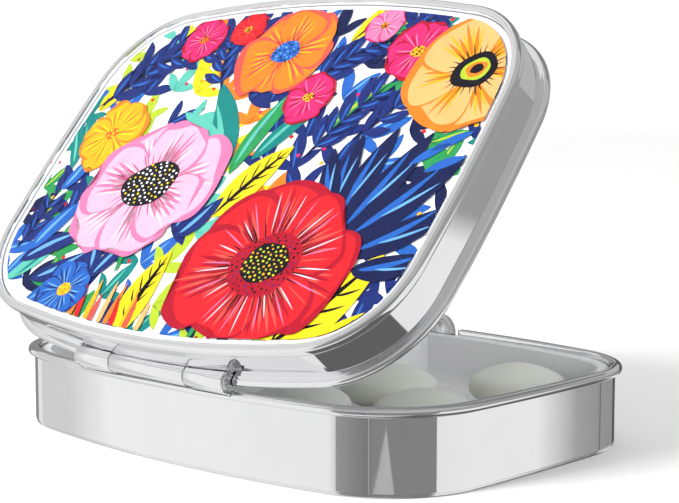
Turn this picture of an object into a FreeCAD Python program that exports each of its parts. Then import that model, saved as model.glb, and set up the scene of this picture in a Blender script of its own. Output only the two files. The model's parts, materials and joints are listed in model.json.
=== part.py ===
import FreeCAD, Part
import math
import os
import Sketcher
from FreeCAD import Placement, Rotation, Vector

# Hinged rounded-square pocket case: a chrome base with a plastic two-compartment
# tray, and a domed picture lid on a three-knuckle hinge with a sprung push latch.
# Millimetres. +Z is up, +Y points from the hinge wall to the latch wall, +X is
# along the hinge line. The origin is the centre of the underside of the base.
# Lid pieces are drawn closed and then swung open about the hinge pin.

doc = FreeCAD.newDocument("pocket_case")

# ---------------------------------------------------------------- dimensions
SIZES = [
    # rounded-square outline of the outer wall: bowed sides joined by corner arcs
    ("half_width", 30.0),
    ("half_depth", 22.0),
    ("long_side_radius", 119.0),
    ("short_side_radius", 224.0),
    ("corner_radius", 11.0),
    # base shell
    ("base_height", 8.4),
    ("wall", 0.5),
    ("floor_thickness", 0.35),
    ("floor_inset", 0.1),
    ("bead_out", 0.7),
    ("bead_height", 0.9),
    ("bead_round", 0.42),
    # plastic tray
    ("tray_gap", 0.1),
    ("tray_wall", 1.3),
    ("tray_top", 7.9),
    ("tray_floor", 2.6),
    ("tray_floor_thickness", 1.0),
    ("tray_floor_round", 1.1),
    ("tray_lip_round", 0.25),
    ("divider_x", -2.0),
    ("divider_half", 0.8),
    ("divider_top", 7.5),
    # lid shell
    ("closing_gap", 0.1),
    ("lid_inset", 0.1),
    ("lid_wall", 0.4),
    ("lid_plate_underside", 12.55),
    ("bezel_underside", 13.0),
    ("lid_top", 14.1),
    ("bezel_out", 0.12),
    ("bezel_width", 0.9),
    ("bezel_round", 0.45),
    ("bezel_inner_round", 0.2),
    ("picture_thickness", 0.5),
    ("picture_gap", 0.04),
    ("dome_thickness", 0.72),
    ("dome_round", 0.55),
    ("lid_open_angle", 50.0),
    # hinge
    ("pin_line_y", -22.15),
    ("pin_line_z", 9.28),
    ("barrel_radius", 1.17),
    ("bore_radius", 0.55),
    ("pin_radius", 0.5),
    ("barrel_centre_x", -0.9),
    ("middle_half", 5.5),
    ("end_knuckle", 5.5),
    ("knuckle_gap", 0.15),
    ("barrel_clearance", 0.15),
    ("base_leaf_z", 8.0),
    ("base_leaf_top", 8.35),
    ("base_leaf_end_y", -21.0),
    ("lid_leaf_y", -21.6),
    ("lid_leaf_end_y", -21.25),
    ("lid_leaf_top", 11.6),
    ("pin_head_radius", 0.95),
    ("pin_head", 0.22),
    # latch
    ("tongue_half_width", 1.95),
    ("tongue_outer_y", 21.35),
    ("tongue_thickness", 0.3),
    ("tongue_foot_z", 0.85),
    ("foot_inner_y", 18.0),
    ("foot_thickness", 0.35),
    ("rivet_radius", 0.7),
    ("rivet_rise", 0.3),
    ("rivet_round", 0.25),
    ("rivet_x", 1.0),
    ("rivet_y", 19.0),
    ("tray_slot_half_width", 2.4),
    ("tray_slot_y", 20.55),
    ("tongue_top_z", 10.1),
    ("dimple_z", 9.05),
    ("dimple_radius", 0.55),
    ("dimple_rise", 0.3),
    ("dimple_round", 0.25),
    ("dent_radius", 0.3),
    ("catch_radius", 0.85),
    ("catch_depth_y", 21.85),
    ("rim_notch_half_width", 2.12),
    ("rim_notch_floor", 7.1),
    ("button_z", 5.4),
    ("button_radius", 1.9),
    ("button_inner_y", 22.5),
    ("button_outer_y", 23.4),
    ("button_round", 0.4),
    ("stud_radius", 1.2),
    ("button_hole_radius", 1.5),
    # loose round tablets
    ("tablet_radius", 5.2),
    ("tablet_thickness", 4.9),
    ("tablet_edge", 1.5),
    ("tablet_round", 0.45),
    ("tablet_1_x", 7.8), ("tablet_1_y", 3.1),
    ("tablet_2_x", 19.7), ("tablet_2_y", -5.1),
    ("tablet_3_x", 17.5), ("tablet_3_y", 12.7),
    ("tablet_4_x", 8.1), ("tablet_4_y", -10.7),
]

sheet = doc.addObject("Spreadsheet::Sheet", "Sizes")
for row, (alias, value) in enumerate(SIZES, start=1):
    sheet.set("A%d" % row, alias)
    sheet.set("B%d" % row, str(value))
    sheet.setAlias("B%d" % row, alias)
doc.recompute()
size = dict(SIZES)


# ---------------------------------------------------------------- helpers
def new_body(label):
    """A body whose Label names its file."""
    body = doc.addObject("PartDesign::Body", label)
    body.Label = label
    return body


def plane(body, role):
    """One of the body's own origin planes."""
    for feature in body.Origin.OriginFeatures:
        if feature.Role == role:
            return feature
    raise ValueError(role)


def new_sketch(body, name, role="XY_Plane", lift=None):
    """A sketch on an origin plane, lifted along the plane's normal."""
    sketch = body.newObject("Sketcher::SketchObject", name)
    sketch.AttachmentSupport = [(plane(body, role), "")]
    sketch.MapMode = "FlatFace"
    if lift is not None:
        sketch.setExpression("AttachmentOffset.Base.z", lift)
    return sketch


def bind(sketch, index, expression):
    """Ties one driving constraint of a sketch to the sheet."""
    sketch.setExpression("Constraints[%d]" % index, expression)


def value_of(expression):
    """The present value of a sum of sheet names such as a + b - c."""
    total = 0.0
    sign = 1.0
    for word in expression.split():
        if word in "+-":
            sign = 1.0 if word == "+" else -1.0
        else:
            name = word.replace("Sizes.", "")
            total += sign * (size[name] if name in size else float(name))
            sign = 1.0
    return total


def outline_centres():
    """Centres of the hinge side arc, the right side arc and their corner arc."""
    low = Vector(0, size["long_side_radius"] - size["half_depth"], 0)
    right = Vector(size["half_width"] - size["short_side_radius"], 0, 0)
    # the corner centre lies at a known distance from each side arc centre
    reach_low = size["long_side_radius"] - size["corner_radius"]
    reach_right = size["short_side_radius"] - size["corner_radius"]
    apart = (right - low).Length
    along = (right - low).normalize()
    across = Vector(-along.y, along.x, 0)
    t = (reach_low ** 2 - reach_right ** 2 + apart ** 2) / (2 * apart)
    side = math.sqrt(reach_low ** 2 - t ** 2)
    options = (low + along * t + across * side, low + along * t - across * side)
    return low, right, max(options, key=lambda point: point.x)


def add_outline(sketch, offset):
    """Adds the rounded-square outline, moved outwards by the offset expression."""
    out = value_of(offset)
    low, right, centre = outline_centres()
    long_r, short_r = size["long_side_radius"], size["short_side_radius"]
    corner = size["corner_radius"]
    a_low = math.atan2(centre.y - low.y, centre.x - low.x)
    a_right = math.atan2(centre.y - right.y, centre.x - right.x)
    px, py = centre.x, -centre.y
    arcs = [
        ((0, low.y), long_r, -math.pi - a_low, a_low),
        ((px, -py), corner, a_low, a_right),
        ((right.x, 0), short_r, a_right, -a_right),
        ((px, py), corner, -a_right, -a_low),
        ((0, -low.y), long_r, -a_low, math.pi + a_low),
        ((-px, py), corner, math.pi + a_low, math.pi + a_right),
        ((-right.x, 0), short_r, math.pi + a_right, math.pi - a_right),
        ((-px, -py), corner, math.pi - a_right, math.pi - a_low),
    ]
    start = sketch.GeometryCount
    for (x, y), radius, begin, end in arcs:
        circle = Part.Circle(Vector(x, y, 0), Vector(0, 0, 1), radius + out)
        sketch.addGeometry(Part.ArcOfCircle(circle, begin, end), False)
    for i in range(8):
        here, there = start + i, start + (i + 1) % 8
        sketch.addConstraint(Sketcher.Constraint("Tangent", here, 2, there, 1))
    for i, axis in ((0, -2), (2, -1), (4, -2), (6, -1)):
        sketch.addConstraint(Sketcher.Constraint("PointOnObject", start + i, 3, axis))
    rise = "Sizes.long_side_radius - Sizes.half_depth"
    run = "Sizes.short_side_radius - Sizes.half_width"
    centres = [
        ("DistanceY", (-1, 1, start, 3), rise),
        ("DistanceX", (start + 2, 3, -1, 1), run),
        ("DistanceY", (start + 4, 3, -1, 1), rise),
        ("DistanceX", (-1, 1, start + 6, 3), run),
    ]
    for kind, points, expression in centres:
        n = sketch.addConstraint(Sketcher.Constraint(kind, *points, value_of(expression)))
        bind(sketch, n, expression)
    radii = ["long_side_radius", "corner_radius", "short_side_radius", "corner_radius"] * 2
    for i, name in enumerate(radii):
        n = sketch.addConstraint(Sketcher.Constraint("Radius", start + i, size[name] + out))
        bind(sketch, n, "Sizes.%s + (%s)" % (name, offset))


def outline_sketch(body, name, lift, *offsets):
    """A sketch of one or two nested outlines at a given height."""
    sketch = new_sketch(body, name, "XY_Plane", lift)
    for offset in offsets:
        add_outline(sketch, offset)
    return sketch


def rectangle_sketch(body, name, role, lift, left, right, bottom, top):
    """A rectangle between four sheet expressions on an origin plane."""
    sketch = new_sketch(body, name, role, lift)
    x0, x1 = value_of(left), value_of(right)
    y0, y1 = value_of(bottom), value_of(top)
    corners = [Vector(x0, y0, 0), Vector(x1, y0, 0), Vector(x1, y1, 0), Vector(x0, y1, 0)]
    for i in range(4):
        sketch.addGeometry(Part.LineSegment(corners[i], corners[(i + 1) % 4]), False)
    for i in range(4):
        sketch.addConstraint(Sketcher.Constraint("Coincident", i, 2, (i + 1) % 4, 1))
    for i in (0, 2):
        sketch.addConstraint(Sketcher.Constraint("Horizontal", i))
    for i in (1, 3):
        sketch.addConstraint(Sketcher.Constraint("Vertical", i))
    marks = [("DistanceX", 0, left), ("DistanceY", 0, bottom),
             ("DistanceX", 2, right), ("DistanceY", 2, top)]
    for kind, line, expression in marks:
        constraint = Sketcher.Constraint(kind, line, 1, value_of(expression))
        n = sketch.addConstraint(constraint)
        bind(sketch, n, expression)
    return sketch


def circle_sketch(body, name, role, lift, x, y, *radii):
    """Concentric circles about a point given by sheet expressions."""
    sketch = new_sketch(body, name, role, lift)
    centre = Vector(value_of(x), value_of(y), 0)
    for i, radius in enumerate(radii):
        circle = Part.Circle(centre, Vector(0, 0, 1), value_of(radius))
        sketch.addGeometry(circle, False)
        n = sketch.addConstraint(Sketcher.Constraint("Radius", i, value_of(radius)))
        bind(sketch, n, radius)
        if i == 0:
            for kind, place, expression in (("DistanceX", centre.x, x), ("DistanceY", centre.y, y)):
                n = sketch.addConstraint(Sketcher.Constraint(kind, 0, 3, place))
                bind(sketch, n, expression)
        else:
            sketch.addConstraint(Sketcher.Constraint("Coincident", i, 3, 0, 3))
    return sketch


def grow(body, kind, name, sketch, length=None, reverse=False, both=False):
    """Pad or Pocket of a sketch, checked to have changed the volume."""
    doc.recompute()
    before = body.Shape.Volume if body.Tip else 0.0
    feature = body.newObject("PartDesign::" + kind, name)
    feature.Profile = sketch
    if length is not None:
        feature.setExpression("Length", length)
    feature.Reversed = reverse
    feature.Midplane = both
    sketch.Visibility = False
    doc.recompute()
    if abs(body.Shape.Volume - before) < 1e-6:
        raise ValueError(name + " changed nothing")
    return feature


def round_edges(body, name, radius, wanted, kind="Fillet"):
    """Rounds or chamfers every edge of the tip that the test picks."""
    doc.recompute()
    base = body.Tip
    before = body.Shape.Volume
    names = []
    for i, edge in enumerate(base.Shape.Edges, start=1):
        if wanted(edge):
            names.append("Edge%d" % i)
    feature = body.newObject("PartDesign::" + kind, name)
    feature.Base = (base, names)
    feature.setExpression("Radius" if kind == "Fillet" else "Size", radius)
    doc.recompute()
    if not names or not feature.isValid() or abs(body.Shape.Volume - before) < 1e-6:
        raise ValueError("%s %s rounded nothing" % (body.Label, name))
    return feature


def outward(x, y):
    """How far a point lies outside the outer wall outline, in millimetres."""
    low, right, centre = outline_centres()
    point = Vector(abs(x), -abs(y), 0)
    if (centre - low).cross(point - low).z < 0:
        return (point - low).Length - size["long_side_radius"]
    if (centre - right).cross(point - right).z > 0:
        return (point - right).Length - size["short_side_radius"]
    return (point - centre).Length - size["corner_radius"]


def edge_at(height, offset, slack=0.03):
    """Test for outline edges at a height and at an offset from the wall."""
    def test(edge):
        box = edge.BoundBox
        if abs(box.ZMin - height) > 1e-3 or abs(box.ZMax - height) > 1e-3:
            return False
        middle = edge.valueAt((edge.FirstParameter + edge.LastParameter) / 2)
        return abs(outward(middle.x, middle.y) - offset) < slack
    return test


def either(*tests):
    """Test that passes when any of the given tests passes."""
    return lambda edge: any(test(edge) for test in tests)


def swing_open(body):
    """Turns a lid piece about the hinge pin to the open angle."""
    pin = Vector(0, size["pin_line_y"], size["pin_line_z"])
    turn = Rotation(Vector(1, 0, 0), size["lid_open_angle"])
    body.Placement = Placement(Vector(0, 0, 0), turn, pin)


def barrel_cut(body):
    """Relieves a rim along the hinge line so that the barrel can turn beside it."""
    sketch = circle_sketch(body, "barrel_relief_sketch", "YZ_Plane",
                           LEFT_END + " - 2 * Sizes.knuckle_gap",
                           "Sizes.pin_line_y", "Sizes.pin_line_z",
                           "Sizes.barrel_radius + Sizes.barrel_clearance")
    return grow(body, "Pocket", "barrel_relief", sketch,
                BARREL_LENGTH + " + 4 * Sizes.knuckle_gap", reverse=True)


def leaf_cut(body, name, start, length, section):
    """Cuts the slot that a knuckle's leaf is brazed into."""
    sketch = rectangle_sketch(body, name + "_sketch", "YZ_Plane", start, *section)
    return grow(body, "Pocket", name, sketch, length, reverse=True)


def knuckle(label, start, length, section):
    """A bored barrel with the leaf that joins it to a shell."""
    body = new_body(label)
    leaf = rectangle_sketch(body, "leaf_sketch", "YZ_Plane", start, *section)
    grow(body, "Pad", "leaf", leaf, length)
    ring = circle_sketch(body, "barrel_sketch", "YZ_Plane", start, "Sizes.pin_line_y",
                         "Sizes.pin_line_z", "Sizes.barrel_radius", "Sizes.bore_radius")
    grow(body, "Pad", "barrel", ring, length)
    return body


# ---------------------------------------------------------------- hinge stations
LEFT_END = "Sizes.barrel_centre_x - Sizes.middle_half - Sizes.end_knuckle"
MIDDLE_START = "Sizes.barrel_centre_x - Sizes.middle_half"
MIDDLE_END = "Sizes.barrel_centre_x + Sizes.middle_half"
END_LENGTH = "Sizes.end_knuckle - Sizes.knuckle_gap"
MIDDLE_LENGTH = "2 * Sizes.middle_half"
BARREL_LENGTH = "2 * Sizes.middle_half + 2 * Sizes.end_knuckle"
RIGHT_START = MIDDLE_END + " + Sizes.knuckle_gap"
# cross-sections of the leaves as inner and outer y, then lower and upper z
BASE_LEAF = ("Sizes.pin_line_y", "Sizes.base_leaf_end_y",
             "Sizes.base_leaf_z", "Sizes.base_leaf_top")
BASE_SLOT = BASE_LEAF[:3] + ("Sizes.base_height + 1",)
LID_LEAF = ("Sizes.lid_leaf_y", "Sizes.lid_leaf_end_y",
            "Sizes.pin_line_z", "Sizes.lid_leaf_top")
MATING = "Sizes.base_height + Sizes.closing_gap"

# ---------------------------------------------------------------- base shell
floor = new_body("base_floor")
grow(floor, "Pad", "plate", outline_sketch(floor, "plate_sketch", None, "0 - Sizes.floor_inset"),
     "Sizes.floor_thickness")

band = new_body("base_band")
grow(band, "Pad", "wall",
     outline_sketch(band, "wall_sketch", "Sizes.floor_thickness", "0", "0 - Sizes.wall"),
     "Sizes.base_height - Sizes.floor_thickness")
grow(band, "Pad", "bead",
     outline_sketch(band, "bead_sketch", "Sizes.base_height - Sizes.bead_height",
                    "Sizes.bead_out", "0 - Sizes.wall"),
     "Sizes.bead_height")
round_edges(band, "bead_round", "Sizes.bead_round",
            either(edge_at(size["base_height"], size["bead_out"]),
                   edge_at(size["base_height"] - size["bead_height"], size["bead_out"])))
barrel_cut(band)
leaf_cut(band, "left_slot", LEFT_END, END_LENGTH, BASE_SLOT)
leaf_cut(band, "right_slot", RIGHT_START, END_LENGTH, BASE_SLOT)
# the tongue stands in a gap in the rim of the latch wall, the stud in a hole below it
rim_gap = rectangle_sketch(band, "rim_gap_sketch", "XZ_Plane", None,
                           "0 - Sizes.rim_notch_half_width", "Sizes.rim_notch_half_width",
                           "Sizes.rim_notch_floor", "Sizes.base_height + 1")
grow(band, "Pocket", "rim_gap", rim_gap, "Sizes.half_depth + 2")
stud_hole = circle_sketch(band, "stud_hole_sketch", "XZ_Plane", None, "0", "Sizes.button_z",
                          "Sizes.button_hole_radius")
grow(band, "Pocket", "stud_hole", stud_hole, "Sizes.half_depth + 2")

# ---------------------------------------------------------------- plastic tray
OUTER = "0 - Sizes.wall - Sizes.tray_gap"
INNER = OUTER + " - Sizes.tray_wall"
tray = new_body("tray")
grow(tray, "Pad", "block", outline_sketch(tray, "block_sketch", "Sizes.floor_thickness", OUTER),
     "Sizes.tray_top - Sizes.floor_thickness")
grow(tray, "Pocket", "well", outline_sketch(tray, "well_sketch", "Sizes.tray_top", INNER),
     "Sizes.tray_top - Sizes.tray_floor")
divider = rectangle_sketch(tray, "divider_sketch", "XY_Plane", "Sizes.tray_floor",
                           "Sizes.divider_x - Sizes.divider_half",
                           "Sizes.divider_x + Sizes.divider_half",
                           "1 - Sizes.half_depth", "Sizes.half_depth - 1.7")
grow(tray, "Pad", "divider", divider, "Sizes.divider_top - Sizes.tray_floor")
grow(tray, "Pocket", "hollow_underside",
     outline_sketch(tray, "underside_sketch", "Sizes.floor_thickness", INNER),
     "Sizes.tray_floor - Sizes.tray_floor_thickness - Sizes.floor_thickness", reverse=True)


def tray_floor_edge(edge):
    """Edges around the bottom of the two compartments."""
    box = edge.BoundBox
    flat = abs(box.ZMin - size["tray_floor"]) < 1e-3 and abs(box.ZMax - size["tray_floor"]) < 1e-3
    return flat


round_edges(tray, "floor_round", "Sizes.tray_floor_round", tray_floor_edge)
lip = value_of(INNER)
round_edges(tray, "lip_round", "Sizes.tray_lip_round",
            either(edge_at(size["tray_top"], lip), edge_at(size["tray_top"], value_of(OUTER))))
# room behind the latch wall for the sprung tongue and its foot
slot = rectangle_sketch(tray, "tongue_slot_sketch", "XY_Plane", "Sizes.floor_thickness",
                        "0 - Sizes.tray_slot_half_width", "Sizes.tray_slot_half_width",
                        "Sizes.tray_slot_y", "Sizes.half_depth")
grow(tray, "Pocket", "tongue_slot", slot, "Sizes.tray_top + 1", reverse=True)
foot_slot = rectangle_sketch(tray, "foot_slot_sketch", "XY_Plane", "Sizes.floor_thickness",
                             "0 - Sizes.tray_slot_half_width", "Sizes.tray_slot_half_width",
                             "Sizes.foot_inner_y - 1", "Sizes.half_depth")
grow(tray, "Pocket", "foot_slot", foot_slot, "2 * Sizes.foot_thickness", reverse=True)

# ---------------------------------------------------------------- hinge
knuckle("hinge_knuckle_left", LEFT_END, END_LENGTH, BASE_LEAF)
knuckle("hinge_knuckle_right", RIGHT_START, END_LENGTH, BASE_LEAF)
middle = knuckle("hinge_knuckle_middle", MIDDLE_START, MIDDLE_LENGTH, LID_LEAF)
swing_open(middle)

pin = new_body("hinge_pin")
shaft = circle_sketch(pin, "shaft_sketch", "YZ_Plane", LEFT_END, "Sizes.pin_line_y",
                      "Sizes.pin_line_z", "Sizes.pin_radius")
grow(pin, "Pad", "shaft", shaft, BARREL_LENGTH)
left_head = circle_sketch(pin, "left_head_sketch", "YZ_Plane", LEFT_END, "Sizes.pin_line_y",
                          "Sizes.pin_line_z", "Sizes.pin_head_radius")
grow(pin, "Pad", "left_head", left_head, "Sizes.pin_head", reverse=True)
right_head = circle_sketch(pin, "right_head_sketch", "YZ_Plane",
                           MIDDLE_END + " + Sizes.end_knuckle", "Sizes.pin_line_y",
                           "Sizes.pin_line_z", "Sizes.pin_head_radius")
grow(pin, "Pad", "right_head", right_head, "Sizes.pin_head")

# ---------------------------------------------------------------- lid
LID_OUT = "0 - Sizes.lid_inset"
LID_IN = LID_OUT + " - Sizes.lid_wall"
BEZEL_IN = "Sizes.bezel_out - Sizes.bezel_width"
PICTURE = BEZEL_IN + " - Sizes.picture_gap"

lid = new_body("lid_band")
grow(lid, "Pad", "wall", outline_sketch(lid, "wall_sketch", MATING, LID_OUT, LID_IN),
     "Sizes.bezel_underside - Sizes.base_height - Sizes.closing_gap")
grow(lid, "Pad", "bead", outline_sketch(lid, "bead_sketch", MATING, "Sizes.bead_out", LID_IN),
     "Sizes.bead_height")
mating = value_of(MATING)
round_edges(lid, "bead_round", "Sizes.bead_round",
            either(edge_at(mating, size["bead_out"]),
                   edge_at(mating + size["bead_height"], size["bead_out"])))
barrel_cut(lid)
leaf_cut(lid, "middle_slot", MIDDLE_START, MIDDLE_LENGTH, LID_LEAF)
catch = circle_sketch(lid, "catch_sketch", "XZ_Plane", None, "0", "Sizes.dimple_z",
                      "Sizes.catch_radius")
grow(lid, "Pocket", "catch", catch, "Sizes.catch_depth_y")
swing_open(lid)

plate = new_body("lid_plate")
grow(plate, "Pad", "plate",
     outline_sketch(plate, "plate_sketch", "Sizes.lid_plate_underside", LID_IN),
     "Sizes.bezel_underside - Sizes.lid_plate_underside")
swing_open(plate)

bezel = new_body("lid_bezel")
grow(bezel, "Pad", "ring",
     outline_sketch(bezel, "ring_sketch", "Sizes.bezel_underside", "Sizes.bezel_out", BEZEL_IN),
     "Sizes.lid_top - Sizes.bezel_underside")
round_edges(bezel, "outer_round", "Sizes.bezel_round",
            either(edge_at(size["lid_top"], size["bezel_out"]),
                   edge_at(size["bezel_underside"], size["bezel_out"])))
round_edges(bezel, "inner_round", "Sizes.bezel_inner_round",
            edge_at(size["lid_top"], value_of(BEZEL_IN)))
swing_open(bezel)

picture = new_body("picture_plate")
grow(picture, "Pad", "card",
     outline_sketch(picture, "card_sketch", "Sizes.bezel_underside", PICTURE),
     "Sizes.picture_thickness")
swing_open(picture)

dome = new_body("clear_dome")
grow(dome, "Pad", "cover",
     outline_sketch(dome, "cover_sketch", "Sizes.bezel_underside + Sizes.picture_thickness",
                    PICTURE),
     "Sizes.dome_thickness")
dome_top = size["bezel_underside"] + size["picture_thickness"] + size["dome_thickness"]
round_edges(dome, "edge_round", "Sizes.dome_round", edge_at(dome_top, value_of(PICTURE)))
swing_open(dome)

# ---------------------------------------------------------------- latch
foot = new_body("latch_foot")
foot_plate = rectangle_sketch(foot, "plate_sketch", "XY_Plane", "Sizes.floor_thickness",
                              "0 - Sizes.tongue_half_width", "Sizes.tongue_half_width",
                              "Sizes.foot_inner_y", "Sizes.tongue_outer_y")
grow(foot, "Pad", "plate", foot_plate, "Sizes.foot_thickness")

for side, name in ((-1, "latch_rivet_left"), (1, "latch_rivet_right")):
    rivet = new_body(name)
    middle_x = "Sizes.rivet_x" if side > 0 else "0 - Sizes.rivet_x"
    head = circle_sketch(rivet, "head_sketch", "XY_Plane",
                         "Sizes.floor_thickness + Sizes.foot_thickness",
                         middle_x, "Sizes.rivet_y", "Sizes.rivet_radius")
    grow(rivet, "Pad", "head", head, "Sizes.rivet_rise")
    top = size["floor_thickness"] + size["foot_thickness"] + size["rivet_rise"]
    round_edges(rivet, "head_round", "Sizes.rivet_round",
                lambda edge, top=top: edge.BoundBox.ZMin > top - 1e-3)

tongue = new_body("latch_tongue")
TONGUE_INNER = "Sizes.tongue_outer_y - Sizes.tongue_thickness"
strip = rectangle_sketch(tongue, "strip_sketch", "XZ_Plane", "0 - (" + TONGUE_INNER + ")",
                         "0 - Sizes.tongue_half_width", "Sizes.tongue_half_width",
                         "Sizes.tongue_foot_z", "Sizes.tongue_top_z - Sizes.tongue_half_width")
grow(tongue, "Pad", "strip", strip, "Sizes.tongue_thickness", reverse=True)
tip = circle_sketch(tongue, "tip_sketch", "XZ_Plane", "0 - (" + TONGUE_INNER + ")", "0",
                    "Sizes.tongue_top_z - Sizes.tongue_half_width", "Sizes.tongue_half_width")
grow(tongue, "Pad", "tip", tip, "Sizes.tongue_thickness", reverse=True)
bump = circle_sketch(tongue, "dimple_sketch", "XZ_Plane", "0 - (" + TONGUE_INNER + ")", "0",
                     "Sizes.dimple_z", "Sizes.dimple_radius")
grow(tongue, "Pad", "dimple", bump, "Sizes.tongue_thickness + Sizes.dimple_rise", reverse=True)
far_y = size["tongue_outer_y"] + size["dimple_rise"]
round_edges(tongue, "dimple_round", "Sizes.dimple_round",
            lambda edge: edge.BoundBox.YMin > far_y - 1e-3)
dent = circle_sketch(tongue, "dent_sketch", "XZ_Plane", "0 - (" + TONGUE_INNER + ")", "0",
                     "Sizes.dimple_z", "Sizes.dent_radius")
grow(tongue, "Pocket", "dent", dent, "Sizes.dimple_rise")

button = new_body("push_button")
stud = circle_sketch(button, "stud_sketch", "XZ_Plane", "0 - Sizes.tongue_outer_y", "0",
                     "Sizes.button_z", "Sizes.stud_radius")
grow(button, "Pad", "stud", stud, "Sizes.button_outer_y - Sizes.tongue_outer_y", reverse=True)
head = circle_sketch(button, "head_sketch", "XZ_Plane", "0 - Sizes.button_inner_y", "0",
                     "Sizes.button_z", "Sizes.button_radius")
grow(button, "Pad", "head", head, "Sizes.button_outer_y - Sizes.button_inner_y", reverse=True)
round_edges(button, "head_round", "Sizes.button_round",
            lambda edge: edge.BoundBox.YMin > size["button_outer_y"] - 1e-3)

# ---------------------------------------------------------------- tablets
# each tablet is a short cylinder capped by two shallow domes
tablets = []
SAG = "((Sizes.tablet_thickness - Sizes.tablet_edge) / 2)"
DOME = "((Sizes.tablet_radius ^ 2 + %s ^ 2) / (2 * %s))" % (SAG, SAG)
for number in range(1, 5):
    name = "tablet_%d" % number
    edge_band = doc.addObject("Part::Cylinder", name + "_band")
    edge_band.setExpression("Radius", "Sizes.tablet_radius")
    edge_band.setExpression("Height", "Sizes.tablet_thickness")
    edge_band.setExpression("Placement.Base.z", "Sizes.tray_floor")
    lower = doc.addObject("Part::Sphere", name + "_lower")
    upper = doc.addObject("Part::Sphere", name + "_upper")
    heights = ((lower, "Sizes.tray_floor + " + DOME),
               (upper, "Sizes.tray_floor + Sizes.tablet_thickness - " + DOME))
    for ball, middle_z in heights:
        ball.setExpression("Radius", DOME)
        ball.setExpression("Placement.Base.z", middle_z)
    for solid in (edge_band, lower, upper):
        solid.setExpression("Placement.Base.x", "Sizes.%s_x" % name)
        solid.setExpression("Placement.Base.y", "Sizes.%s_y" % name)
    lens = doc.addObject("Part::MultiCommon", name + "_lens")
    lens.Shapes = [edge_band, lower, upper]
    doc.recompute()
    rounded = doc.addObject("Part::Fillet", name)
    rounded.Label = name
    rounded.Base = lens
    rings = []
    for i, edge in enumerate(lens.Shape.Edges, start=1):
        if edge.Closed and edge.Length > 6 * size["tablet_radius"]:
            rings.append((i, size["tablet_round"], size["tablet_round"]))
    rounded.Edges = rings
    tablets.append(rounded)

# ---------------------------------------------------------------- check and write
doc.recompute()
bodies = [obj for obj in doc.Objects if obj.TypeId == "PartDesign::Body"]
for obj in doc.Objects:
    if "Invalid" in obj.State or "Error" in obj.State:
        raise ValueError("%s is %s" % (obj.Name, obj.State))
os.makedirs("parts", exist_ok=True)
for obj in bodies + tablets:
    if obj.Shape.isNull() or not obj.Shape.isValid():
        raise ValueError(obj.Label + " has a bad shape")
    solids = len(obj.Shape.Solids)
    print("%-22s %9.2f mm3 in %d solid" % (obj.Label, obj.Shape.Volume, solids))
    obj.Shape.exportStep(os.path.join("parts", obj.Label + ".step"))
print("pieces:", len(bodies) + len(tablets))
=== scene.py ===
"""Chrome pocket case with a hinged picture lid, standing open on a pale floor."""
import math
import random

import bpy
import bmesh
from mathutils import Matrix, Vector
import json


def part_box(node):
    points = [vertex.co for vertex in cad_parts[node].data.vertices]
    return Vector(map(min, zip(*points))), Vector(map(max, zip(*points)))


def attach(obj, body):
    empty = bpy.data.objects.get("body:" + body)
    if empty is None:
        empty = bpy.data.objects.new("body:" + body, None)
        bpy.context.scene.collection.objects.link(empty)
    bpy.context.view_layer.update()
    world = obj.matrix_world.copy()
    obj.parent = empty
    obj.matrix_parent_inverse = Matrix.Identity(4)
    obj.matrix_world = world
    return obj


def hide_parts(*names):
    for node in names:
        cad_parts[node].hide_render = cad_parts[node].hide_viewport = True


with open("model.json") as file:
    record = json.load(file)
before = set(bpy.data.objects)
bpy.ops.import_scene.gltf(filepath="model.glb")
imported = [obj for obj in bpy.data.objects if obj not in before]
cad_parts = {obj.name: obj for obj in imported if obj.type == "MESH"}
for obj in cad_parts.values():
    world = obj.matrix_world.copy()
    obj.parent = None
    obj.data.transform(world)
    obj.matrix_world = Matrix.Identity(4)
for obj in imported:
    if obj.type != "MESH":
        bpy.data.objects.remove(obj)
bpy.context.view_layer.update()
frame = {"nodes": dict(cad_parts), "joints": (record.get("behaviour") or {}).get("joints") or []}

MM = 0.001
joints = {j["name"]: j for j in frame["joints"]}

# ---- dimensions
# millimetres; the outline is four bowed sides joined by four corner arcs
band_low, band_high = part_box("base_band")
BEAD_OUT = 0.7
HALF_W = band_high.x / MM - BEAD_OUT
HALF_D = -band_low.y / MM - BEAD_OUT
LONG_R, SHORT_R, CORNER_R = 119.0, 224.0, 11.0
RIM = band_high.z / MM
FLOOR_TOP = band_low.z / MM
PIN = Vector(joints["lid_hinge"]["pos_m"]) / MM
OPEN = math.radians(-joints["lid_hinge"]["range_deg"][0])
LID_TURN = (Matrix.Translation(PIN) @ Matrix.Rotation(OPEN, 4, "X")
            @ Matrix.Translation(-PIN))
MATING = RIM + 0.1
SHEET = 0.5
PLATE_Z = 12.55
BEZEL_Z = 13.0
LID_TOP = 14.1
BEZEL_IN = -0.78
PRINT_Z = 13.5
INK_STACK = 0.3
DOME_TOP = 14.22
BARREL_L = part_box("hinge_knuckle_left")[0].x / MM
BARREL_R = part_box("hinge_knuckle_right")[1].x / MM
MID_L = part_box("hinge_knuckle_middle")[0].x / MM
MID_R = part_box("hinge_knuckle_middle")[1].x / MM
KNUCKLE_GAP = 0.15
BARREL_RADIUS = 1.17
RELIEF_RADIUS = 1.32
RELIEF_GAP = 0.3
# leaves of the hinge as (lower y, upper y, lower z, upper z), lid closed
BASE_LEAF = (PIN.y, -21.0, 8.0, 8.35)
LID_LEAF = (-21.6, -21.25, PIN.z, 11.6)
LEAF_SLOT_Y = -20.5
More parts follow.
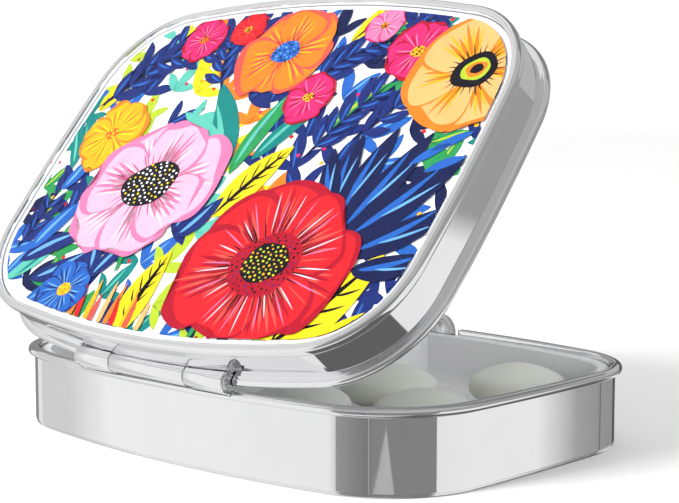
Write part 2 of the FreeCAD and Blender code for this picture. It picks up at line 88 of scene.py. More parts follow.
# the latch side: depth range of the wall, rim notch, button, catch dent and spring tongue
WALL_IN, WALL_OUT = 19, 24
NOTCH_HALF, NOTCH_FLOOR = 2.12, 7.1
BUTTON_Z = 5.4
STUD_HOLE = 1.5
CATCH_Z = 9.05
DENT_RADIUS, DENT_END = 0.85, 21.85
TONGUE_BACK, TONGUE_FRONT = 21.05, 21.35


# ---- outline
def corner_centre():
    """Centre of the corner arc at +x, -y, from the two side arcs it touches."""
    low = Vector((0.0, LONG_R - HALF_D))
    right = Vector((HALF_W - SHORT_R, 0.0))
    reach_low, reach_right = LONG_R - CORNER_R, SHORT_R - CORNER_R
    apart = (right - low).length
    along = (right - low) / apart
    across = Vector((-along.y, along.x))
    t = (reach_low ** 2 - reach_right ** 2 + apart ** 2) / (2 * apart)
    side = math.sqrt(reach_low ** 2 - t ** 2)
    options = (low + along * t + across * side, low + along * t - across * side)
    return low, right, max(options, key=lambda p: p.x)


def outline(long_steps=84, short_steps=64, corner_steps=44):
    """Points around the wall as (x, y, nx, ny), counter-clockwise."""
    low, right, c = corner_centre()
    a = math.atan2(c.y - low.y, c.x - low.x)
    b = math.atan2(c.y - right.y, c.x - right.x)
    arcs = [
        ((0, low.y), LONG_R, -math.pi - a, a, long_steps),
        ((c.x, c.y), CORNER_R, a, b, corner_steps),
        ((right.x, 0), SHORT_R, b, -b, short_steps),
        ((c.x, -c.y), CORNER_R, -b, -a, corner_steps),
        ((0, -low.y), LONG_R, -a, math.pi + a, long_steps),
        ((-c.x, -c.y), CORNER_R, math.pi + a, math.pi + b, corner_steps),
        ((-right.x, 0), SHORT_R, math.pi + b, math.pi - b, short_steps),
        ((-c.x, c.y), CORNER_R, math.pi - b, math.pi - a, corner_steps),
    ]
    points = []
    for (cx, cy), radius, start, end, steps in arcs:
        for i in range(steps):
            angle = start + (end - start) * i / steps
            nx, ny = math.cos(angle), math.sin(angle)
            points.append((cx + radius * nx, cy + radius * ny, nx, ny))
    return points


OUTLINE = outline()


def ring(offset, z, scale=1.0):
    """The outline moved outwards by offset and shrunk about the middle."""
    return [((x + nx * offset) * scale, (y + ny * offset) * scale, z)
            for x, y, nx, ny in OUTLINE]


# ---- mesh helpers
def metre_mesh(bm, name, turn=Matrix.Identity(4)):
    """Turns a bmesh in millimetres into a mesh in metres."""
    bmesh.ops.recalc_face_normals(bm, faces=bm.faces)
    mesh = bpy.data.meshes.new(name)
    bm.to_mesh(mesh)
    bm.free()
    mesh.transform(Matrix.Scale(MM, 4) @ turn)
    return mesh


def add_object(name, data):
    """Links an object to the scene."""
    obj = bpy.data.objects.new(name, data)
    bpy.context.scene.collection.objects.link(obj)
    return obj


def smooth_shading(mesh, limit):
    """Smooth shading with sharp edges above an angle in degrees."""
    mesh.shade_smooth()
    mesh.set_sharp_from_angle(angle=math.radians(limit))


def finish_mesh(bm, name, smooth=35.0, turn=Matrix.Identity(4)):
    """Turns a bmesh in millimetres into a shown object in metres."""
    mesh = metre_mesh(bm, name, turn)
    smooth_shading(mesh, smooth)
    return add_object(name, mesh)


def turn_with_lid(obj):
    """Turns a finished object from the closed lid to the open one."""
    obj.data.transform(Matrix.Scale(MM, 4) @ LID_TURN @ Matrix.Scale(1 / MM, 4))
    return obj


def loft(rings, closed=False):
    """Skin through rings of points; an end ring of one point closes to it."""
    bm = bmesh.new()
    rows = [[bm.verts.new(p) for p in points] for points in rings]
    pairs = list(zip(rows, rows[1:]))
    if closed:
        pairs.append((rows[-1], rows[0]))
    for one, two in pairs:
        count = max(len(one), len(two))
        for i in range(count):
            j = (i + 1) % count
            if len(one) == 1:
                bm.faces.new((one[0], two[i], two[j]))
            elif len(two) == 1:
                bm.faces.new((one[i], one[j], two[0]))
            else:
                bm.faces.new((one[i], one[j], two[j], two[i]))
    return bm


def arc(cx, cz, radius, start, end, steps):
    """Points of a profile arc, angles in degrees."""
    out = []
    for i in range(steps + 1):
        t = math.radians(start + (end - start) * i / steps)
        out.append((cx + radius * math.cos(t), cz + radius * math.sin(t)))
    return out


def turned(profile, steps, where, closed=False):
    """A turned shape from pairs (distance along the axis, radius)."""
    rows = []
    for along, radius in profile:
        angles = [2 * math.pi * i / steps for i in range(steps)] if radius else [0.0]
        rows.append([where(along, radius * math.cos(a), radius * math.sin(a))
                     for a in angles])
    return loft(rows, closed)


def along_pin(x, u, v):
    """Point of a shape turned about the pin line."""
    return x, PIN.y + u, PIN.z + v


def through_wall(height):
    """Points of a shape turned about a line along Y at a height."""
    return lambda y, u, v: (u, y, height + v)


def upright(cx=0, cy=0):
    """Points of a shape turned about an upright line."""
    return lambda z, u, v: (cx + u, cy + v, z)


def rod(start, end, radius):
    """Profile of a plain round rod."""
    return [(start, 0), (start, radius), (end, radius), (end, 0)]


def combine(obj, other, operation, smooth=35.0):
    """Takes a shape out of an object, or joins it on, for good."""
    tool = add_object("tool", metre_mesh(other, "tool"))
    mod = obj.modifiers.new("combine", "BOOLEAN")
    mod.operation = operation
    mod.solver = "EXACT"
    mod.object = tool
    depsgraph = bpy.context.evaluated_depsgraph_get()
    result = bpy.data.meshes.new_from_object(obj.evaluated_get(depsgraph))
    obj.modifiers.remove(mod)
    spent = (obj.data, tool.data)
    obj.data = result
    bpy.data.objects.remove(tool)
    for mesh in spent:
        bpy.data.meshes.remove(mesh)
    smooth_shading(result, smooth)
    return obj


def cut(obj, cutter):
    """Takes a shape out of an object."""
    return combine(obj, cutter, "DIFFERENCE")


def block(x0, x1, y0, y1, z0, z1):
    """A plain box used for cutting and for the hinge leaves."""
    bm = bmesh.new()
    corners = [(x, y, z) for x in (x0, x1) for y in (y0, y1) for z in (z0, z1)]
    v = [bm.verts.new(p) for p in corners]
    for face in ((0, 1, 3, 2), (4, 6, 7, 5), (0, 4, 5, 1), (2, 3, 7, 6), (0, 2, 6, 4),
                 (1, 5, 7, 3)):
        bm.faces.new([v[i] for i in face])
    return bm


# ---- materials
def material(name, color, rough, metal=0.0, **inputs):
    """A Principled material with its node tree, ready for detail."""
    mat = bpy.data.materials.new(name)
    mat.use_nodes = True
    shader = mat.node_tree.nodes["Principled BSDF"]
    shader.inputs["Base Color"].default_value = (*color, 1.0)
    shader.inputs["Roughness"].default_value = rough
    shader.inputs["Metallic"].default_value = metal
    for key, value in inputs.items():
        shader.inputs[key.replace("_", " ")].default_value = value
    return mat, mat.node_tree, shader


def noise(tree, scale, detail=3.0, stretch=(1, 1, 1)):
    """Object-space noise, stretched along the axes."""
    where = tree.nodes.new("ShaderNodeTexCoord")
    mapping = tree.nodes.new("ShaderNodeMapping")
    mapping.inputs["Scale"].default_value = stretch
    tex = tree.nodes.new("ShaderNodeTexNoise")
    tex.inputs["Scale"].default_value = scale
    tex.inputs["Detail"].default_value = detail
    tree.links.new(where.outputs["Object"], mapping.inputs["Vector"])
    tree.links.new(mapping.outputs["Vector"], tex.inputs["Vector"])
    return tex.outputs["Fac"]


def remap(tree, value, low, high, new_low, new_high):
    """Map Range from one band to another."""
    node = tree.nodes.new("ShaderNodeMapRange")
    node.inputs["From Min"].default_value = low
    node.inputs["From Max"].default_value = high
    node.inputs["To Min"].default_value = new_low
    node.inputs["To Max"].default_value = new_high
    tree.links.new(value, node.inputs["Value"])
    return node.outputs["Result"]


def bump(tree, shader, height, strength, distance=0.00002):
    """A bump of the given height field."""
    node = tree.nodes.new("ShaderNodeBump")
    node.inputs["Strength"].default_value = strength
    node.inputs["Distance"].default_value = distance
    tree.links.new(height, node.inputs["Height"])
    tree.links.new(node.outputs["Normal"], shader.inputs["Normal"])


def tint(tree, shader, value, dark, light):
    """Blends two colours of the base by a value."""
    ramp = tree.nodes.new("ShaderNodeValToRGB")
    ramp.color_ramp.elements[0].color = (*dark, 1)
    ramp.color_ramp.elements[1].color = (*light, 1)
    tree.links.new(value, ramp.inputs["Fac"])
    tree.links.new(ramp.outputs["Color"], shader.inputs["Base Color"])


def chrome(name, low=0.84, high=0.9, rough=0.035):
    """Bright plating: faint haze, wipe marks and a very slight waviness."""
    mat, tree, shader = material(name, (high, high, high), rough, 1.0)
    haze = noise(tree, 260, 4)
    tint(tree, shader, haze, (low, low, low * 1.01), (high, high, high * 1.008))
    wear = noise(tree, 900, 5, (1, 1, 0.25))
    tree.links.new(remap(tree, wear, 0.35, 0.75, rough * 0.7, rough * 2.2),
                   shader.inputs["Roughness"])
    bump(tree, shader, noise(tree, 120, 2), 0.05, 0.00003)
    return mat


def tray_plastic():
    """Satin plastic of the tray."""
    mat, tree, shader = material("tray_plastic", (0.8, 0.8, 0.81), 0.32)
    tint(tree, shader, noise(tree, 300, 3), (0.79, 0.79, 0.8), (0.82, 0.82, 0.83))
    tree.links.new(remap(tree, noise(tree, 1400, 3), 0.3, 0.7, 0.26, 0.4),
                   shader.inputs["Roughness"])
    bump(tree, shader, noise(tree, 300, 1), 0.03)
    return mat


def tablet_green():
    """Pressed powder, slightly translucent."""
    mat, tree, shader = material("tablet_green", (0.63, 0.67, 0.61), 0.5,
                                 Subsurface_Weight=0.25, Subsurface_Scale=0.003)
    tint(tree, shader, noise(tree, 700, 4), (0.62, 0.66, 0.6), (0.67, 0.7, 0.65))
    bump(tree, shader, noise(tree, 5000, 4), 0.12)
    return mat


def card_margin():
    """Pale board under the picture."""
    mat, tree, shader = material("card_margin", (0.62, 0.62, 0.63), 0.35)
    tint(tree, shader, noise(tree, 500, 3), (0.6, 0.6, 0.61), (0.66, 0.66, 0.67))
    return mat


def bare_material(name):
    """A material with only an output node, and its nodes and links."""
    mat = bpy.data.materials.new(name)
    mat.use_nodes = True
    nodes, links = mat.node_tree.nodes, mat.node_tree.links
    nodes.clear()
    return mat, nodes, links, nodes.new("ShaderNodeOutputMaterial")


def clear_resin():
    """Clear cover: passes the picture straight through and adds only a weak gloss."""
    mat, nodes, links, out = bare_material("clear_resin")
    clear = nodes.new("ShaderNodeBsdfTransparent")
    clear.inputs["Color"].default_value = (0.97, 0.975, 0.98, 1)
    gloss = nodes.new("ShaderNodeBsdfGlossy")
    gloss.inputs["Roughness"].default_value = 0.03
    mix = nodes.new("ShaderNodeMixShader")
    edge = nodes.new("ShaderNodeFresnel")
    edge.inputs["IOR"].default_value = 1.12
    side = nodes.new("ShaderNodeNewGeometry")
    outside = nodes.new("ShaderNodeMath")
    outside.operation = "SUBTRACT"
    outside.inputs[0].default_value = 1.0
    links.new(side.outputs["Backfacing"], outside.inputs[1])
    amount = nodes.new("ShaderNodeMath")
    amount.operation = "MULTIPLY"
    links.new(edge.outputs["Fac"], amount.inputs[0])
    links.new(outside.outputs["Value"], amount.inputs[1])
    links.new(amount.outputs["Value"], mix.inputs["Fac"])
    links.new(clear.outputs["BSDF"], mix.inputs[1])
    links.new(gloss.outputs["BSDF"], mix.inputs[2])
    links.new(mix.outputs["Shader"], out.inputs["Surface"])
    return mat


CHROME = chrome("bright_chrome")
CHROME_PLATE = chrome("plate_chrome", 0.78, 0.86, 0.08)
CHROME_HINGE = chrome("hinge_chrome", 0.84, 0.9, 0.06)
STEEL = chrome("spring_steel", 0.72, 0.8, 0.16)
PIN_STEEL = chrome("pin_steel", 0.8, 0.88, 0.12)
TRAY = tray_plastic()
TABLET = tablet_green()
CARD = card_margin()
RESIN = clear_resin()


def paint(obj, mat):
    """Gives an object one material."""
    obj.data.materials.clear()
    obj.data.materials.append(mat)
    return obj


# ---- base
def barrel_relief():
    """The cylinder along the pin that both rims are relieved by."""
    return turned(rod(BARREL_L - RELIEF_GAP, BARREL_R + RELIEF_GAP, RELIEF_RADIUS), 64, along_pin)


def base_band():
    """Drawn wall with a rolled half-round bead, relieved for hinge and latch."""
    foot = FLOOR_TOP
    profile = [(-SHEET, foot), (-0.05, foot), (-0.012, foot + 0.02), (0.0, foot + 0.07),
               (0.0, foot + 0.1), (0.0, 3.0), (0.0, 6.0), (0.0, RIM - 1.04),
               (0.0, RIM - 1.0), (-0.04, RIM - 0.95), (0.03, RIM - 0.9)]
    profile += arc(0.25, RIM - 0.45, 0.45, -86, 90, 18)
    profile += [(0.05, RIM), (-0.12, RIM - 0.015), (-0.2, RIM - 0.06), (-0.26, RIM - 0.06),
                (-0.34, RIM - 0.012), (-0.42, RIM - 0.02), (-0.48, RIM - 0.08),
                (-SHEET, RIM - 0.16), (-SHEET, 5.0)]
    obj = finish_mesh(loft([ring(o, z) for o, z in profile], closed=True), "base_band_shell")
    cut(obj, barrel_relief())
    for x0, x1 in ((BARREL_L, MID_L - KNUCKLE_GAP), (MID_R + KNUCKLE_GAP, BARREL_R)):
        cut(obj, block(x0, x1, BASE_LEAF[0], LEAF_SLOT_Y, BASE_LEAF[2], RIM + 1))
    cut(obj, block(-NOTCH_HALF, NOTCH_HALF, WALL_IN, WALL_OUT, NOTCH_FLOOR, RIM + 1))
    return cut(obj, turned(rod(20, WALL_OUT, STUD_HOLE), 48, through_wall(BUTTON_Z)))


def base_floor():
    """Bottom plate with a small rolled edge, seen as a thin line under the wall."""
    top = FLOOR_TOP
    rows = [[(0, 0, 0.0)]]
    rows += [ring(-0.1, 0.0, s) for s in (0.25, 0.5, 0.75, 0.9)]
    rows += [ring(-0.22, 0.0), ring(-0.14, 0.03), ring(-0.1, 0.1), ring(-0.1, top - 0.05),
             ring(-0.14, top)]
    rows += [ring(-0.1, top, s) for s in (0.9, 0.5)] + [[(0, 0, top)]]
    return finish_mesh(loft(rows), "base_plate")


def tablet(number):
    """Pressed tablet: two shallow caps that roll softly into the edge."""
    low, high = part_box("tablet_%d" % number)
    cx, cy = (low.x + high.x) / 2 / MM, (low.y + high.y) / 2 / MM
    z0, thick = low.z / MM, (high.z - low.z) / MM
    radius, edge = (high.x - low.x) / 2 / MM, 1.5
    sag = (thick - edge) / 2
    middle = z0 + thick / 2
    cap_end, cap_steps, roll, shoulder, roll_steps = 0.86, 14, 0.36, 0.62, 10
    top = []
    for i in range(cap_steps + 1):
        r = cap_end * math.sin(i / cap_steps * math.pi / 2)
        top.append((middle + edge / 2 + sag * (1 - r * r), r * radius))
    # the rim rolls from the cap into the side
    (z1, r0), fall = top[-1], -2 * sag * cap_end / radius
    knots = ((z1, r0), (z1 + roll * fall, r0 + roll), (middle + shoulder, radius),
             (middle, radius))
    for i in range(1, roll_steps + 1):
        t = i / roll_steps
        weights = ((1 - t) ** 3, 3 * t * (1 - t) ** 2, 3 * t * t * (1 - t), t ** 3)
        top.append(tuple(sum(w * k[axis] for w, k in zip(weights, knots)) for axis in (0, 1)))
    bottom = [(2 * middle - z, r) for z, r in reversed(top[:-1])]
    return finish_mesh(turned(top + bottom, 64, upright(cx, cy)), "round_tablet_%d" % number,
                       smooth=50)


# ---- hinge
def knuckle(name, left, right, leaf_box):
    """A rolled barrel, softened at its ends, with a flat leaf."""
    full = BARREL_RADIUS
    end = [(0, 0.56), (0, full - 0.1), (0.04, full - 0.03), (0.13, full)]
    profile = [(left + dx, r) for dx, r in end] + [(right - dx, r) for dx, r in reversed(end)]
    obj = finish_mesh(turned(profile, 56, along_pin, closed=True), name)
    return combine(obj, block(left, right, *leaf_box), "UNION", smooth=40)


def hinge_pin():
    """The pin with a peened, dished head at each end."""
    head = [(0, 0.5), (0.01, 0.94), (0.08, 0.95), (0.17, 0.93), (0.21, 0.86), (0.215, 0.76),
            (0.19, 0.7), (0.17, 0.3), (0.17, 0)]
    profile = [(BARREL_L - dx, r) for dx, r in reversed(head)]
    profile += [(BARREL_R + dx, r) for dx, r in head]
    return finish_mesh(turned(profile, 48, along_pin), "pin", smooth=30)


# ---- lid
def lid_band():
    """Lid wall with its mating bead, relieved for the hinge and the catch."""
    z0 = MATING
    profile = [(-SHEET, z0 + 0.12), (-0.46, z0 + 0.03), (-0.38, z0), (-0.2, z0), (0.0, z0),
               (0.14, z0)]
    profile += arc(0.25, z0 + 0.45, 0.45, -88, 84, 18)
    profile += [(0.12, z0 + 0.9), (0.02, z0 + 0.9), (-0.13, z0 + 0.93), (-0.1, z0 + 1.0),
                (-0.1, z0 + 1.04), (-0.1, z0 + 2.0), (-0.1, BEZEL_Z - 0.15),
                (-0.1, BEZEL_Z - 0.1), (-0.16, BEZEL_Z - 0.04), (-0.16, BEZEL_Z),
                (-SHEET, BEZEL_Z), (-SHEET, z0 + 2.0)]
    obj = finish_mesh(loft([ring(o, z) for o, z in profile], closed=True), "lid_shell")
    cut(obj, barrel_relief())
    cut(obj, block(MID_L, MID_R, LID_LEAF[0], LEAF_SLOT_Y, LID_LEAF[2], LID_LEAF[3]))
    cut(obj, turned(rod(WALL_IN, DENT_END, DENT_RADIUS), 40, through_wall(CATCH_Z)))
    return turn_with_lid(obj)


def lid_bezel():
    """Polished ring that frames the picture."""
    z0, z1 = BEZEL_Z, LID_TOP
    out = 0.12
    profile = [(BEZEL_IN, z0), (-0.1, z0)]
    profile += arc(out - 0.3, z0 + 0.3, 0.3, -80, 0, 8)
    profile += [(out, z0 + 0.5)]
    profile += arc(out - 0.45, z1 - 0.45, 0.45, 5, 90, 12)
    profile += [(-0.37, z1), (-0.405, z1 - 0.06), (-0.44, z1)]
    profile += arc(BEZEL_IN + 0.16, z1 - 0.16, 0.16, 90, 180, 6)
    return finish_mesh(loft([ring(o, z) for o, z in profile], closed=True), "bezel_ring",
                       turn=LID_TURN)


def lid_plate():
    """Top plate of the lid; its underside is the lid's smooth inner face."""
    z0, z1 = PLATE_Z, BEZEL_Z
    rows = [[(0, 0, z0)]] + [ring(-SHEET, z0, s) for s in (0.3, 0.6, 0.85)]
    rows += [ring(-0.9, z0), ring(-SHEET, z0 + 0.12), ring(-SHEET, z1)]
    rows += [ring(-SHEET, z1, s) for s in (0.85, 0.5)] + [[(0, 0, z1)]]
    return finish_mesh(loft(rows), "lid_inner_plate", turn=LID_TURN)


def picture_card():
    """The card under the picture; its margin shows as a pale border."""
    z0, z1, out = BEZEL_Z, PRINT_Z, BEZEL_IN - 0.04
    rows = [[(0, 0, z0)], ring(out, z0, 0.5), ring(out, z0), ring(out, z1 - 0.05),
            ring(out - 0.04, z1), ring(out, z1, 0.5), [(0, 0, z1)]]
    return finish_mesh(loft(rows), "picture_card", turn=LID_TURN)


def clear_dome():
    """Poured resin: rolls up from the bezel and flattens towards the middle."""
    out = BEZEL_IN - 0.04
    z0 = PRINT_Z + INK_STACK + 0.02
    top = DOME_TOP
    rows = [[(0, 0, z0)], ring(out, z0, 0.5), ring(out, z0), ring(out, z0 + 0.04)]
    steps = 10
    for i in range(steps + 1):
        t = math.radians(90 * i / steps)
        rows.append(ring(out - 0.9 * (1 - math.cos(t)), z0 + 0.04 + (top - 0.11 - z0)
                         * math.sin(t)))
    for s in (0.96, 0.9, 0.8, 0.65, 0.45, 0.2):
        rows.append(ring(out - 0.9, top - 0.07 * s ** 2.5, s))
    rows.append([(0, 0, top)])
    return finish_mesh(loft(rows), "resin_dome", turn=LID_TURN, smooth=60)


# ---- latch
def latch_tongue():
    """Upright spring strip with a round tip and a pressed dimple."""
    half, tip, foot, soft = 1.95, 10.1, 0.85, 0.06
    back, front = TONGUE_BACK, TONGUE_FRONT
    centre = tip - half
    edge = [(-half, foot), (half, foot)] + arc(0, centre, half, 0, 180, 40)
    rows = []
    for y, inset in ((back, soft), (back + soft * 0.4, soft * 0.3), (back + soft, 0),
                     (front - soft, 0), (front - soft * 0.4, soft * 0.3), (front, soft)):
        k = 1 - inset / half
        rows.append([(x * k, y, centre + (z - centre) * (k if z > centre else 1))
                     for x, z in edge])
    bearings = [math.atan2(z - CATCH_Z, x) for x, _, z in rows[0]]

    def face(y, bulge):
        """Rings that close a face and run into the dimple."""
        out = [[(radius * math.cos(a), y + push * bulge, CATCH_Z + radius * math.sin(a))
                for a in bearings]
               for radius, push in ((0.62, 0.0), (0.5, 0.05), (0.4, 0.14), (0.28, 0.22),
                                    (0.14, 0.27))]
        return out + [[(0, y + 0.29 * bulge, CATCH_Z)]]

    rings = face(back, 0.9)[::-1] + rows + face(front, 1.0)
    return finish_mesh(loft(rings), "tongue", smooth=40)


def push_button():
    """Thumb button on a stud through the latch wall, with a soft domed face."""
    profile = [(TONGUE_FRONT, 0), (TONGUE_FRONT, 1.2), (22.5, 1.2), (22.5, 1.84), (22.53, 1.9),
               (23.0, 1.9), (23.1, 1.87), (23.2, 1.78), (23.27, 1.62), (23.31, 1.4),
               (23.35, 1.0), (23.38, 0.5), (23.39, 0)]
    return finish_mesh(turned(profile, 56, through_wall(BUTTON_Z)), "button")


# ---- picture
INKS = {
    "ground": "f8f6f2", "white": "fdfcf8", "black": "17141d", "navy": "1f2f74",
    "deep_navy": "161f4d", "blue": "2a66bf", "sky": "6fb0ea", "teal": "15857f",
    "mint": "63c4b0", "green": "2f9a55", "lime": "bcd334", "yellow": "fbe01c",
    "gold": "f9b81d", "orange": "f68425", "apricot": "fdbc74", "red": "e5212b",
    "coral": "f4594c", "crimson": "b5122b", "magenta": "e02a72", "rose": "ee7fae",
    "pink": "f9bcd4", "blush": "fddde8", "plum": "5b2a6e",
}


def linear(code):
    """Linear colour of a hex code."""
    out = []
    for i in (0, 2, 4):
        c = int(code[i:i + 2], 16) / 255
        out.append(c / 12.92 if c <= 0.04045 else ((c + 0.055) / 1.055) ** 2.4)
    return tuple(out)


def ink_material(name):
    """Gouache-like ink: streaky tone, faint paper grain."""
    base = linear(INKS[name])
    strength = 1.0 if name in ("ground", "white") else 0.7
    base = tuple(c * strength for c in base)
    mat, tree, shader = material("ink_" + name, base, 0.6, Specular_IOR_Level=0.12)
    streak = noise(tree, 420, 4, (1.0, 0.35, 1.0))
    tint(tree, shader, streak, tuple(c * 0.84 for c in base),
         tuple(min(1.0, c * 1.1 + 0.004) for c in base))
    bump(tree, shader, noise(tree, 500, 2), 0.02)
    return mat


def spline(points, per=8):
    """Closed smooth curve through points."""
    out, n = [], len(points)
    for i in range(n):
        p0, p1, p2, p3 = (points[(i + k - 1) % n] for k in range(4))
        for j in range(per):
            t = j / per
            out.append(tuple(0.5 * (2 * b + (c - a) * t + (2 * a - 5 * b + 4 * c - d) * t * t
                                    + (3 * b - a - 3 * c + d) * t ** 3)
                             for a, b, c, d in zip(p0, p1, p2, p3)))
    return out


def ribbon(x, y, angle, length, width, bend=0.0, peak=0.45, steps=14, tail=0.0):
    """A leaf, petal or brush stroke: a bent midline with a swelling width."""
    left, right = [], []
    turn = math.radians(angle)
    px, py, step = x, y, length / steps
    power = math.log(0.5) / math.log(peak)
    for i in range(steps + 1):
        t = i / steps
        half = width / 2 * (math.sin(math.pi * t ** power) ** 0.8 * (1 - tail) + tail * (1 - t))
        nx, ny = -math.sin(turn), math.cos(turn)
        left.append((px + nx * half, py + ny * half))
        right.append((px - nx * half, py - ny * half))
        px += math.cos(turn) * step
        py += math.sin(turn) * step
        turn += math.radians(bend) / steps
    tip = ((left[-1][0] + right[-1][0]) / 2, (left[-1][1] + right[-1][1]) / 2)
    return left[:-1] + [tip] + right[:0:-1]


def midline(x, y, angle, length, bend, t):
    """Point and heading at t along a ribbon's midline."""
    steps = 20
    turn, px, py = math.radians(angle), x, y
    for _ in range(int(round(t * steps))):
        px += math.cos(turn) * length / steps
        py += math.sin(turn) * length / steps
        turn += math.radians(bend) / steps
    return px, py, math.degrees(turn)


def swing(x, y, u, v, angle):
    """The offset (u, v) turned by an angle in radians and set down at x, y."""
    return (x + u * math.cos(angle) - v * math.sin(angle),
            y + u * math.sin(angle) + v * math.cos(angle))


def oval(x, y, rx, ry, angle=0.0, wobble=0.0, rng=None, steps=24):
    """An ellipse, a little uneven if asked."""
    a = math.radians(angle)
    out = []
    phase = rng.random() * 6 if rng else 0
    for i in range(steps):
        t = 2 * math.pi * i / steps
        k = 1 + wobble * math.sin(3 * t + phase) + wobble * 0.6 * math.sin(5 * t - phase)
        out.append(swing(x, y, rx * math.cos(t) * k, ry * math.sin(t) * k, a))
    return out


def petal(x, y, angle, length, width, rng):
    """A broad petal with a slightly frilled outer edge."""
    frill = 0.07
    a = math.radians(angle)
    shape = [(0.0, 0.05), (0.25, 0.3), (0.55, 0.48), (0.82, 0.5), (0.97, 0.3), (1.02, 0.05),
             (0.98, -0.24), (0.84, -0.47), (0.55, -0.5), (0.25, -0.3)]
    points = []
    for u, v in shape:
        k = 1 + (rng.random() - 0.5) * 2 * frill * (u > 0.5)
        points.append(swing(x, y, u * length * k, v * width, a))
    return spline(points, 5)


class Painting:
    """Flat inks laid one over another, each layer a hair above the last."""

    def __init__(self, border):
        self.bm = bmesh.new()
        self.names = list(INKS)
        self.level = 0
        self.border = border

    def layer(self):
        """Starts the next layer."""
        self.level += 1

    def clip(self, polygon):
        """The part of a polygon inside the rounded-square border."""
        out = polygon
        n = len(self.border)
        for i in range(n):
            (ax, ay), (bx, by) = self.border[i], self.border[(i + 1) % n]
            ex, ey = bx - ax, by - ay
            side = [ex * (py - ay) - ey * (px - ax) for px, py in out]
            if min(side) >= 0:
                continue
            if max(side) <= 0:
                return []
            kept = []
            for k in range(len(out)):
                s0, s1 = side[k], side[(k + 1) % len(out)]
                p0, p1 = out[k], out[(k + 1) % len(out)]
                if s0 >= 0:
                    kept.append(p0)
                if (s0 >= 0) != (s1 >= 0):
                    t = s0 / (s0 - s1)
                    kept.append((p0[0] + (p1[0] - p0[0]) * t, p0[1] + (p1[1] - p0[1]) * t))
            out = kept
            if len(out) < 3:
                return []
        return out

    def ink(self, color, polygon):
        """Lays one shape in one ink on the present layer."""
        polygon = self.clip(polygon)
        clean = []
        for p in polygon:
            if not clean or math.dist(p, clean[-1]) > 0.004:
                clean.append(p)
        if len(clean) > 2 and math.dist(clean[0], clean[-1]) < 0.004:
            clean.pop()
        area = sum(a[0] * b[1] - b[0] * a[1] for a, b in zip(clean, clean[1:] + clean[:1])) / 2
        if len(clean) < 3 or abs(area) < 0.002:
            return
        if area < 0:
            clean.reverse()
        face = self.bm.faces.new([self.bm.verts.new((px, py, self.level)) for px, py in clean])
        face.material_index = self.names.index(color)

    # ---- motifs
    def leaf(self, x, y, angle, length, width, bend, color, vein, light):
        """A leaf with an optional lighter half-stroke, a midrib and side veins."""
        self.ink(color, ribbon(x, y, angle, length, width, bend, 0.42))
        if light:
            self.layer()
            hx, hy, ha = midline(x, y, angle, length, bend, 0.12)
            self.ink(light, ribbon(hx, hy, ha + 5, length * 0.7, width * 0.22, bend * 0.7, 0.4))
        if vein:
            self.layer()
            self.ink(vein, ribbon(x, y, angle, length * 0.96, width * 0.07 + 0.06, bend, 0.3))
            for t in (0.2, 0.35, 0.5, 0.65, 0.8):
                vx, vy, va = midline(x, y, angle, length, bend, t)
                reach = width * 0.5 * math.sin(math.pi * t ** 0.8)
                for sign in (-1, 1):
                    self.ink(vein, ribbon(vx, vy, va + sign * 42, reach * 1.15,
                                          width * 0.04 + 0.05, -sign * 22, 0.3, 6))

    def spray(self, x, y, angle, length, bend, pairs, size, color, light, stem, rng):
        """A stem with leaves in pairs and one at its tip."""
        self.layer()
        self.ink(stem, ribbon(x, y, angle, length, 0.35, bend, 0.3, tail=0.3))
        self.layer()
        for i in range(pairs):
            t = 0.15 + 0.8 * i / pairs
            px, py, pa = midline(x, y, angle, length, bend, t)
            for sign in (-1, 1):
                grow = size * (1.05 - 0.35 * t) * (0.85 + 0.3 * rng.random())
                self.ink(color, ribbon(px, py, pa + sign * (38 + 14 * rng.random()), grow,
                                       grow * 0.36, -sign * (15 + 20 * rng.random()), 0.5))
        px, py, pa = midline(x, y, angle, length, bend, 1.0)
        self.ink(color, ribbon(px, py, pa, size * 0.9, size * 0.3, 8, 0.5))
        self.layer()
        for i in range(pairs):
            t = 0.15 + 0.8 * i / pairs
            px, py, pa = midline(x, y, angle, length, bend, t)
            for sign in (-1, 1):
                if rng.random() < 0.75:
                    self.ink(light, ribbon(px, py, pa + sign * 44, size * 0.7 * (1 - 0.3 * t),
                                           size * 0.07, -sign * 25, 0.6, 8))

    def flower(self, x, y, radius, petals, start, tones, rng, width, streaks, flat=1.0,
               tilt=0.0):
        """Broad overlapping petals with brush streaks from the heart outwards."""
        base, shade, glint = tones
        order = list(range(petals))
        rng.shuffle(order)
        for i in order:
            angle = start + 360 * i / petals + (rng.random() - 0.5) * 16
            a = math.radians(angle)
            reach = radius * (0.92 + 0.16 * rng.random())
            reach *= math.hypot(math.cos(a), math.sin(a) * flat)
            direction = math.degrees(math.atan2(math.sin(a) * flat, math.cos(a))) + tilt
            self.layer()
            wide = reach * width * 2 * math.sin(math.pi / petals) * 1.25
            self.ink(shade, petal(x, y, direction, reach * 1.03, wide * 1.05, rng))
            self.layer()
            self.ink(base, petal(x, y, direction + 1.5, reach * 0.97, wide * 0.94, rng))
            self.layer()
            for k in range(streaks):
                spread = (k + 0.5) / streaks - 0.5
                off = spread * 52 * (6 / petals)
                ink = shade if k % 2 else glint
                long_ = reach * (0.55 + 0.33 * rng.random()) * (1 - 0.35 * abs(spread))
                sx = x + math.cos(math.radians(direction + off)) * reach * 0.2
                sy = y + math.sin(math.radians(direction + off)) * reach * 0.2
                self.ink(ink, ribbon(sx, sy, direction + off * 0.75, long_,
                                     radius * (0.045 if ink == glint else 0.06),
                                     off * 0.5, 0.45, 8))

